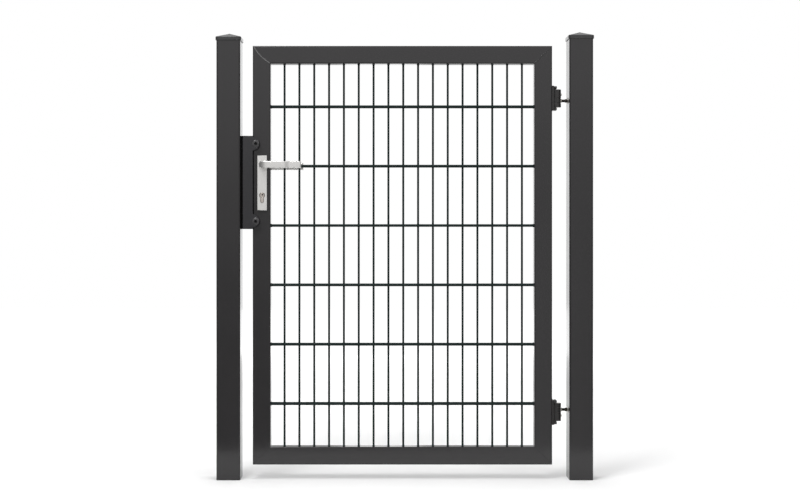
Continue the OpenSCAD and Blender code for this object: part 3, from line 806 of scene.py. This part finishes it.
def cylinder_outline(gap=0.0, y=0.0):
    """A round head over a web with a round foot."""
    radius = CYLINDER_R + gap
    web = WEB_R + gap
    foot = CYLINDER_H - CYLINDER_R - WEB_R
    corner = math.degrees(math.asin(web / radius))
    head = arc(0, y, radius, corner - 90, 270 - corner, 40)
    return head + arc(0, y - foot, web, 180, 360, 16)


def keyway_outline():
    """A slot with two wards, as a hole, with its wide end up."""
    outline = [(-0.4, -1.2), (2.4, -1.2), (2.4, 0.4), (1.9, 0.8), (1.9, 1.6), (3.0, 2.2), (3.0, 4.8),
               (2.2, 5.6), (-0.2, 5.6), (-1.0, 4.8), (-1.0, 1.4), (-0.2, 0.9), (-0.2, 0.1),
               (-0.4, -0.2)]
    return outline[::-1]


def make_cylinder():
    """A middle length, and at each end a body with a plug whose keyway and gap have near-black floors
    set in as painted shade.
    """
    length = cylinder_high.y - cylinder_low.y
    inside = 2 * (length / 2 - KEYWAY_L)
    gap_r = PLUG_R + PLUG_GAP
    core = slab([cylinder_outline()], rounded_ends(0, inside, edge=0.1))
    end = slab([cylinder_outline(), circle(gap_r)[::-1]],
               rounded_ends(0, KEYWAY_L - PLUG_PROUD, edge=0.35))
    plug = slab([circle(PLUG_R), keyway_outline()],
                rounded_ends(0, KEYWAY_L, edge=0.3), hole_edge=0.15)
    # Near-black floors in the keyway and the plug's gap paint the shade inside them.
    keyway_floor = rod(PLUG_R - 0.5, 0.1, KEYWAY_L - 2.2, edge=0.1)
    gap_floor = ring(PLUG_R - 0.2, gap_r + 0.2, 0.1, KEYWAY_L - 1.0, edge=0.1)
    cylinder = Piece()
    cylinder.add(core, lever_axis.x, inside / 2, cylinder_z, FRONT)
    for turn, side in ((FRONT, -1), (BACK, 1)):
        start = side * inside / 2
        cylinder.add([end, plug], lever_axis.x, start, cylinder_z, turn)
        cylinder.add([keyway_floor, gap_floor], lever_axis.x, start, cylinder_z, turn, painted_recess_shade)
    cylinder.make("lock_cylinder_piece", "leaf", slot_of["lock_cylinder"], ["lock_cylinder"])


def make_plates():
    """Two bored plates, each with a ring round the lever's neck, and their screws at the back."""
    levels = [(0.2, 0), (0, 0.2), (0, PLATE_T - PLATE_CHAMFER),
              (PLATE_CHAMFER - 0.1, PLATE_T - 0.1), (PLATE_CHAMFER, PLATE_T)]
    outline = round_rect(PLATE_W, PLATE_H, PLATE_CORNER, 3)
    boss = ring(NECK_R + NECK_GAP, BOSS_R, PLATE_T - 2, PLATE_T + BOSS_H, edge=0.7)
    for node, turn in (("front_handle_plate", FRONT), ("back_handle_plate", BACK)):
        low, high = box(node)
        plate_z = (low.z + high.z) / 2
        face = low.y if turn is BACK else high.y
        holes = [circle(NECK_R + 0.5, y=lever_axis.z - plate_z),
                 cylinder_outline(gap=0.8, y=cylinder_z - plate_z)]
        plate = slab([outline] + [hole[::-1] for hole in holes], levels, hole_edge=0.3)
        piece = Piece()
        piece.add(plate, lever_axis.x, face, plate_z, turn)
        piece.add(boss, lever_axis.x, face, lever_axis.z, turn)
        piece.make(node + "_piece", "leaf", slot_of[node], [node])

    low, high = box("handle_screws")
    screw = socket_screw(PLATE_SCREW_D, PLATE_SCREW_H, shank_d=5,
                         shank_l=high.y - low.y - PLATE_SCREW_H, key=3, edge=1.2)
    screws = Piece()
    for z in (low.z + PLATE_SCREW_D / 2, high.z - PLATE_SCREW_D / 2):
        screws.add(screw, lever_axis.x, high.y - PLATE_SCREW_H, z, BACK)
    screws.make("handle_screws_piece", "leaf", slot_of["handle_screws"], ["handle_screws"])


make_cylinder()
make_plates()

LEVER_REACH = 133.0
GRIP_LOW = -10.7             # bottom and top of the grip, from the axis
GRIP_HIGH = 12.4
GRIP_BACK = 5.0              # from the grip's middle to its leaf side
GRIP_FRONT = -8.0            # and to its front
LEVER_END = -7.6             # left end, from the axis
ROUND_OVER = 33.0            # length of the front's slow turn into the neck
END_DEPTH = 9.0              # how far the left end falls back
STEP_START = 72.0            # where the front steps back for the fingers
STEP_STOP = 100.0
STEP_DEPTH = 3.6
TIP_BACK = 14.0              # from the grip's middle to the end of the tip, which turns back
TIP_ROUND = 3.0              # length over which the tip rounds off
TIP_START = 112.0            # where the tip starts to turn back
TIP_STOP = 124.0
THIN = 1.6                   # how much the bar thins out
THIN_START = 8.0
THIN_STOP = 50.0
END_RINGS = 14
BAR_RINGS = 60
GRIP_R = 2.0                 # rounding of the grip's long edges
CROWN = 0.6                  # how much the front's middle stands out


def eased(value, low, high):
    """0 below low, 1 above high, and a smooth step between them."""
    share = min(1, max(0, (value - low) / (high - low)))
    return share * share * (3 - 2 * share)


def past_tip(x):
    """How far x lies into the length over which the tip rounds off."""
    return max(0, x - LEVER_REACH + TIP_ROUND)


def grip_front(x):
    """Y of the front of the grip at x, from the grip's middle, without its crown."""
    flat = GRIP_FRONT + CROWN
    turn = max(0.0, 1 - (x - LEVER_END) / ROUND_OVER)
    flat += END_DEPTH * turn ** 2.5
    return flat + STEP_DEPTH * eased(x, STEP_START, STEP_STOP) + 0.2 * past_tip(x) ** 2


def grip_back(x):
    """Y of the leaf side of the grip at x: it thins out, and the tip turns back towards the leaf."""
    bar = GRIP_BACK - THIN * eased(x, THIN_START, THIN_STOP)
    return bar + (TIP_BACK - bar) * eased(x, TIP_START, TIP_STOP) - 0.25 * past_tip(x) ** 2


def lever_solids(out):
    """A lever about its axis: x towards the tip, y up, z outwards; out is the grip's middle."""
    half = (GRIP_HIGH - GRIP_LOW) / 2
    angles = [math.radians(90 * i / END_RINGS) for i in range(END_RINGS + 1)]
    xs = [LEVER_END + half * (1 - math.cos(a)) for a in angles]
    xs[0] += 0.06            # so that the first ring doesn't shrink to a point
    bar = LEVER_REACH - 0.05 - xs[-1]
    xs += [xs[-1] + bar * i / BAR_RINGS for i in range(1, BAR_RINGS + 1)]
    rings = []
    for x in xs:
        across = min(1, (x - LEVER_END) / half)
        height = 2 * half * math.sqrt(1 - (1 - across) ** 2)
        height -= 0.15 * past_tip(x) ** 2
        front = grip_front(x)
        thick = max(0.4, grip_back(x) - front)
        radius = min(GRIP_R, height * 0.32, thick * 0.45)
        row = []
        for y, z in round_rect(thick, height, radius):
            crown = CROWN * (1 - (2 * z / height) ** 2) * max(0, -2 * y / thick)
            row.append((x, z + (GRIP_LOW + GRIP_HIGH) / 2, out - (front + thick / 2 + y - crown)))
        rings.append(row)
    return [loft(rings), rod(NECK_R, PLATE_T, out, edge=0.3)]


for node, turn in (("front_lever", FRONT), ("back_lever", BACK)):
    low, high = box(node)
    face = high.y if turn is FRONT else low.y
    reach_out = (high.y - low.y) + GRIP_FRONT
    one_piece(node, "levers", lever_solids(reach_out), lever_axis.x, face, lever_axis.z, turn,
              satin_lever, 50)


FOREND_SCREW_R = 2.5
FOREND_KEY = 2.5
BOLT_GAP = 0.6               # of the bolts' holes over the bolts, both sides together
BOLT_CORNER = 0.8
LATCH_NOSE = 1.4             # chamfer of the latch bolt


def make_forend():
    """The plate in the leaf's edge, with its two screws and the two bolts that come through it."""
    low, high = box("lock_forend")
    centre = (low + high) / 2
    latch_low, latch_high = box("latch_bolt")
    bolt_low, bolt_high = box("dead_bolt")
    screws_low, screws_high = box("forend_screws")
    screw_zs = (screws_low.z + FOREND_SCREW_R, screws_high.z - FOREND_SCREW_R)
    holes = [round_rect(stop.y - start.y + BOLT_GAP, stop.z - start.z + BOLT_GAP, 0.5, 3,
                        y=(start.z + stop.z) / 2 - centre.z)
             for start, stop in ((latch_low, latch_high), (bolt_low, bolt_high))]
    holes += [circle(FOREND_SCREW_R + 0.2, 32, y=z - centre.z) for z in screw_zs]
    outline = round_rect(high.y - low.y, high.z - low.z, 1.0, 4)
    plate = slab([outline] + [hole[::-1] for hole in holes],
                 rounded_ends(0, high.x - low.x, edge=0.4), hole_edge=0.25)
    one_piece("lock_forend", "leaf", plate, high.x, centre.y, centre.z, LEFT)

    head = slab([circle(FOREND_SCREW_R, 32), hexagon(FOREND_KEY)[::-1]],
                rounded_ends(-1.6, -0.1, edge=0.2), hole_edge=0.15)
    shank = rod(2.0, -(screws_high.x - screws_low.x), -1.2, edge=0.3)
    screws = Piece()
    for z in screw_zs:
        screws.add([head, shank], low.x, centre.y, z, LEFT)
    screws.make("forend_screws_piece", "leaf", slot_of["forend_screws"], ["forend_screws"])

    size = bolt_high - bolt_low
    dead_bolt = slab([round_rect(size.y, size.z, BOLT_CORNER, 4)],
                     rounded_ends(0, size.x - 0.1, edge=0.6))
    one_piece("dead_bolt", "leaf", dead_bolt,
              bolt_high.x, (bolt_low.y + bolt_high.y) / 2, (bolt_low.z + bolt_high.z) / 2, LEFT)

    size = latch_high - latch_low
    plan = [(0, 0), (size.x, 0), (size.x, size.y), (LATCH_NOSE, size.y), (0, size.y - LATCH_NOSE)]
    latch_bolt = slab([plan], rounded_ends(0, size.z, edge=0.4))
    one_piece("latch_bolt", "leaf", latch_bolt, latch_low.x, latch_low.y, latch_low.z)


make_forend()


# ---- Hinges ----

KNUCKLE_R = 11.0
KNUCKLE_GAP = 0.4            # between a knuckle and the eye
KNUCKLE_EDGE = 1.6
EYE_H = 16.0
PIN_R = 6.0
HINGE_PLATE_T = 8.0
HINGE_PLATE_FOOT = 0.4       # chamfer round the base plate's back
HINGE_PLATE_EDGE = 4.0
HINGE_SCREW_D = 9.5
HINGE_SCREW_H = 8.5
SET_SCREW_R = 3.9
SET_SCREW_L = 7.4
SET_SCREW_KEY = 3.5
SET_SCREW_KEY_Z = 4.4        # height of its socket's floor
SHANK_R = 5.0
THREAD_PITCH = 1.5
THREAD_DEPTH = 0.9
NECK_L = 5.0                 # from the eye to the shank's thread
NECK_SINK = 1.2              # how far the neck starts inside the eye
FLANGE_T = 1.5
FLANGE_LAP = 2.5             # of the insert's flange on the post
SADDLE_OPEN_X = -8.0         # the pad between the knuckles ends here on the leaf's way


def knuckle(start, stop, reach):
    """A knuckle with the arm that joins it to the base plate, bored for the pin."""
    outline = arc(0, 0, KNUCKLE_R, -90, 90, 24) + [(-reach, KNUCKLE_R), (-reach, -KNUCKLE_R)]
    levels = rounded_ends(start, stop, KNUCKLE_EDGE, 4)
    return slab([outline, circle(PIN_R, 40)[::-1]], levels, hole_edge=0.4)


def saddle_outline(foot):
    """Plan of the pad between the knuckles: hollow round the eye, and cut back on the leaf's way."""
    hollow = KNUCKLE_R + 0.2
    flank = KNUCKLE_R - 0.3
    front = math.degrees(math.asin(flank / hollow))
    back = math.degrees(math.acos(-SADDLE_OPEN_X / hollow))
    round_eye = arc(0, 0, hollow, 180 + front, 180 - back, 16)
    return [(foot, -flank)] + round_eye + [(SADDLE_OPEN_X, flank), (foot, flank)]


def make_bracket(node, axis, flip, half, eye_z):
    """Base plate, two knuckles over and under the eye, the pad between them and their welds."""
    low, high = box(node)
    reach = axis.x - low.x
    eye_top = eye_z + EYE_H / 2 + KNUCKLE_GAP
    eye_bottom = eye_z - EYE_H / 2 - KNUCKLE_GAP
    levels = [(HINGE_PLATE_FOOT, 0), (0, HINGE_PLATE_FOOT)]
    levels += rounded_top(HINGE_PLATE_T, HINGE_PLATE_EDGE, 5)
    plate = slab([round_rect(high.y - low.y, high.z - low.z, 2.0, 4)], levels)
    arm = reach - HINGE_PLATE_T / 2
    saddle = slab([saddle_outline(HINGE_PLATE_T - 1 - reach)],
                  rounded_ends(eye_bottom - 1, eye_top + 1, edge=0.2))
    bracket = Piece()
    bracket.add(plate, low.x, axis.y, axis.z, RIGHT)
    bracket.add([knuckle(eye_top, half, arm), knuckle(-half, eye_bottom, arm), saddle],
                axis.x, axis.y, axis.z, flip)
    for start, stop in ((eye_top, half), (-half, eye_bottom)):
        seam = bead((start + 1.5, 0), (stop - 1.5, 0), width=3.0, height=1.3)
        for side in (-1, 1):
            foot = Matrix.Translation((HINGE_PLATE_T - reach, side * KNUCKLE_R, 0))
            turn = flip @ foot @ RIGHT @ Matrix.Rotation(math.radians(90), 4, "Z")
            bracket.add(seam, axis.x, axis.y, axis.z, turn)
    bracket.make(node + "_piece", "leaf", slot_of[node], [node])


def make_hinge_screws(node):
    low, high = box(node)
    screw = socket_screw(HINGE_SCREW_D, HINGE_SCREW_H, shank_d=6,
                         shank_l=high.x - low.x - HINGE_SCREW_H, key=5, edge=0.6)
    screws = Piece()
    for y in (low.y + HINGE_SCREW_D / 2, high.y - HINGE_SCREW_D / 2):
        for z in (low.z + HINGE_SCREW_D / 2, high.z - HINGE_SCREW_D / 2):
            screws.add(screw, high.x - HINGE_SCREW_H, y, z, RIGHT)
    screws.make(node + "_piece", "leaf", slot_of[node], [node])


def make_eye_bolt(node, axis, eye_slot):
    """The eye, coated like the bracket, its plain neck, and the shank with its thread."""
    low, high = box(node)
    bolt_z = (low.z + high.z) / 2
    eye_r = (high.y - low.y) / 2
    eye = Piece()
    eye.add(ring(PIN_R + 0.3, eye_r, -EYE_H / 2, EYE_H / 2, edge=0.8), axis.x, axis.y, bolt_z)
    eye.make(node + "_eye", "posts", eye_slot, [node])
    neck_start = axis.x + eye_r - NECK_SINK
    profile = [(SHANK_R - 0.8, 0), (SHANK_R + 1.6, 0.6), (SHANK_R + 1.4, 2.4), (SHANK_R + 0.3, 4.4),
               (SHANK_R - 0.6, NECK_L)]
    neck = Piece()
    neck.add(lathe(profile), neck_start, axis.y, bolt_z, RIGHT)
    neck.make(node + "_neck", "posts", slot_of[node], [node])
    start = axis.x + eye_r + NECK_L - NECK_SINK
    threaded = thread(SHANK_R, 0, high.x - start, THREAD_PITCH, THREAD_DEPTH)
    shank = Piece()
    shank.add(threaded, start, axis.y, bolt_z, RIGHT)
    shank.make(node + "_shank", "posts", slot_of[node], [node], thread_steel)


def make_hinge(side, up):
    """A hinge drawn with its long knuckle above the eye; the lower one is turned over."""
    axis = middle(side + "_hinge_pin")
    flip = UP if up > 0 else Matrix.Scale(-1, 4, (0, 0, 1))
    pin_low, pin_high = box(side + "_hinge_pin")
    half = (pin_high.z - pin_low.z) / 2
    bolt_z = middle(side + "_eye_bolt").z
    bracket = side + "_hinge_bracket"
    make_bracket(bracket, axis, flip, half, -abs(bolt_z - axis.z))
    one_piece(side + "_hinge_pin", "leaf", rod(PIN_R - 0.05, -half, half, edge=0.9),
              axis.x, axis.y, axis.z)
    make_hinge_screws(side + "_hinge_screws")

    low, high = box(side + "_set_screw")
    set_screw = [slab([circle(SET_SCREW_R, 32), hexagon(SET_SCREW_KEY)[::-1]],
                      rounded_ends(3, SET_SCREW_L, edge=0.7), hole_edge=0.2),
                 rod(SET_SCREW_R, 0, SET_SCREW_KEY_Z, edge=0.2)]
    one_piece(side + "_set_screw", "leaf", set_screw,
              high.x - SET_SCREW_L, axis.y, (low.z + high.z) / 2, RIGHT)
    make_eye_bolt(side + "_eye_bolt", axis, slot_of[bracket])

    low, high = box(side + "_lock_collar")
    collar = ring(SHANK_R - 0.2, (high.y - low.y) / 2, 0, high.x - low.x, edge=0.9)
    one_piece(side + "_lock_collar", "posts", collar, low.x, axis.y, bolt_z, RIGHT, thread_steel)

    low, high = box(side + "_post_insert")
    flange_r = (high.y - low.y) / 2
    insert = [ring(SHANK_R, flange_r, 0, FLANGE_T),
              ring(SHANK_R, flange_r - FLANGE_LAP, FLANGE_T - 0.2, high.x - low.x, edge=0.5)]
    one_piece(side + "_post_insert", "posts", insert, low.x, axis.y, bolt_z, RIGHT)


make_hinge("upper", 1)
make_hinge("lower", -1)


# ---- Studio ----

WORLD_LEVEL = 0.55           # what lights matt surfaces from all round
AIM_Z = 0.75
FLOOR_X = (-5.6, 4.4)
FLOOR_Y = (-0.6, 9.0)
FLOOR_BELOW = 0.0005         # under the posts' feet


def lamp(name, place, width, height, power, mirrored=True):
    """An area lamp aimed at the gate's middle, and placed from there; its sizes are in metres."""
    low, high = cad_box
    target = Vector(((low[0] + high[0]) / 2, 0, AIM_Z))
    data = bpy.data.lights.new(name, "AREA")
    data.shape = "RECTANGLE"
    data.size = width
    data.size_y = height
    data.energy = power
    light = bpy.data.objects.new(name, data)
    bpy.context.scene.collection.objects.link(light)
    light.location = target + Vector(place)
    light.rotation_euler = (target - light.location).to_track_quat("-Z", "Y").to_euler()
    light.visible_camera = False
    light.visible_glossy = mirrored


def set_world():
    """White to the camera. Reflections see a studio instead, whose light depends on the direction."""
    world = bpy.data.worlds.new("studio")
    bpy.context.scene.world = world
    world.use_nodes = True
    nodes = Nodes(world.node_tree)
    rays = nodes.add("ShaderNodeLightPath")
    way = nodes.add("ShaderNodeTexCoord").output("Generated")
    parts = nodes.add("ShaderNodeSeparateXYZ", {}, {"Vector": way})
    towards_back = parts.output("Y")
    upwards = parts.output("Z")
    sideways = parts.output("X")

    # In front: dim low down and paler above, darker to the right and to the left.
    front = nodes.ease(upwards, -0.12, 0.18) * 0.70 + 0.28
    front = front * (1 - nodes.ease(sideways, 0.16, 0.45) * 0.65)
    front = front * (1 - nodes.ease(sideways * -1, 0.18, 0.75) * 0.70)
    # A pale card stands low down, just right of the middle.
    card = nodes.ease(sideways, 0.0, 0.10) * (1 - nodes.ease(sideways, 0.12, 0.22))
    front = front + card * (1 - nodes.ease(upwards, -0.06, 0.04)) * 0.45
    # The walls: dark on the left, paler on the right.
    wall = nodes.ease(sideways, -0.2, 0.2) * 0.38 + 0.12
    side = nodes.ease(towards_back, -0.75, -0.45)
    room = front * (1 - side) + side * wall
    # Behind: pale, and palest at the far left.
    behind = nodes.ease(sideways * -1, 0.85, 0.97) * 0.30 + 0.60
    back = nodes.ease(towards_back, -0.25, 0.02)
    studio = room * (1 - back) + back * behind

    seen = rays.output("Is Camera Ray") | rays.output("Is Transmission Ray")
    mirrored = rays.output("Is Glossy Ray")
    level = seen + mirrored * (1 - seen) * studio + (1 - (seen | mirrored)) * WORLD_LEVEL
    background = world.node_tree.nodes["Background"]
    nodes.put(background.inputs["Strength"], level)
    background.inputs["Color"].default_value = (1, 1, 1, 1)


def set_floor():
    """A pale floor from just in front of the gate, which shows white but keeps a soft shadow."""
    mesh = bpy.data.meshes.new("floor")
    (left, right), (front, back) = FLOOR_X, FLOOR_Y
    mesh.from_pydata([(left, front, 0), (right, front, 0), (right, back, 0), (left, back, 0)],
                     [], [(0, 1, 2, 3)])
    floor = bpy.data.objects.new("floor", mesh)
    bpy.context.scene.collection.objects.link(floor)
    floor.location.z = -FLOOR_BELOW
    finish = Finish("floor")
    rays = finish.add("ShaderNodeLightPath")
    seen = rays.output("Is Camera Ray") | rays.output("Is Glossy Ray")
    seen = seen | rays.output("Is Transmission Ray")
    low, high = cad_box
    gate = ((low[0] + high[0]) / 2, 0, 0)
    way = finish.add("ShaderNodeVectorMath", {"operation": "SUBTRACT"}, {0: finish.place, 1: gate})
    length = finish.add("ShaderNodeVectorMath", {"operation": "LENGTH"}, {0: way})
    from_gate = length.output("Value")
    # The lamps fall off with the distance, so the floor's own glow rises as far as they fail it.
    near = finish.ease(from_gate, 0.5, 1.8) * 0.21
    far = finish.ease(from_gate, 2.2, 4.4) * 0.36
    glow = finish.blend(near + far, (0.08, 0.08, 0.08), (1, 1, 1))
    finish.set(Base_Color=(0.79, 0.79, 0.79), Roughness=0.9, Specular_IOR_Level=0.0,
               Emission_Color=finish.blend(seen, (0, 0, 0), glow), Emission_Strength=1.0)
    mesh.materials.append(finish.material)


set_world()
set_floor()
lamp("key", (-1.4, -2.0, 3.2), 1.5, 1.5, power=90)
lamp("fill", (2.0, -2.4, 2.2), 1.5, 1.5, power=22)
lamp("top", (0, 0.1, 3.4), 1.6, 1.6, power=72, mirrored=False)
lamp("back", (-0.08, 4.0, 0.6), 0.5, 3.0, power=4.0)
bpy.context.scene.view_settings.view_transform = "Standard"
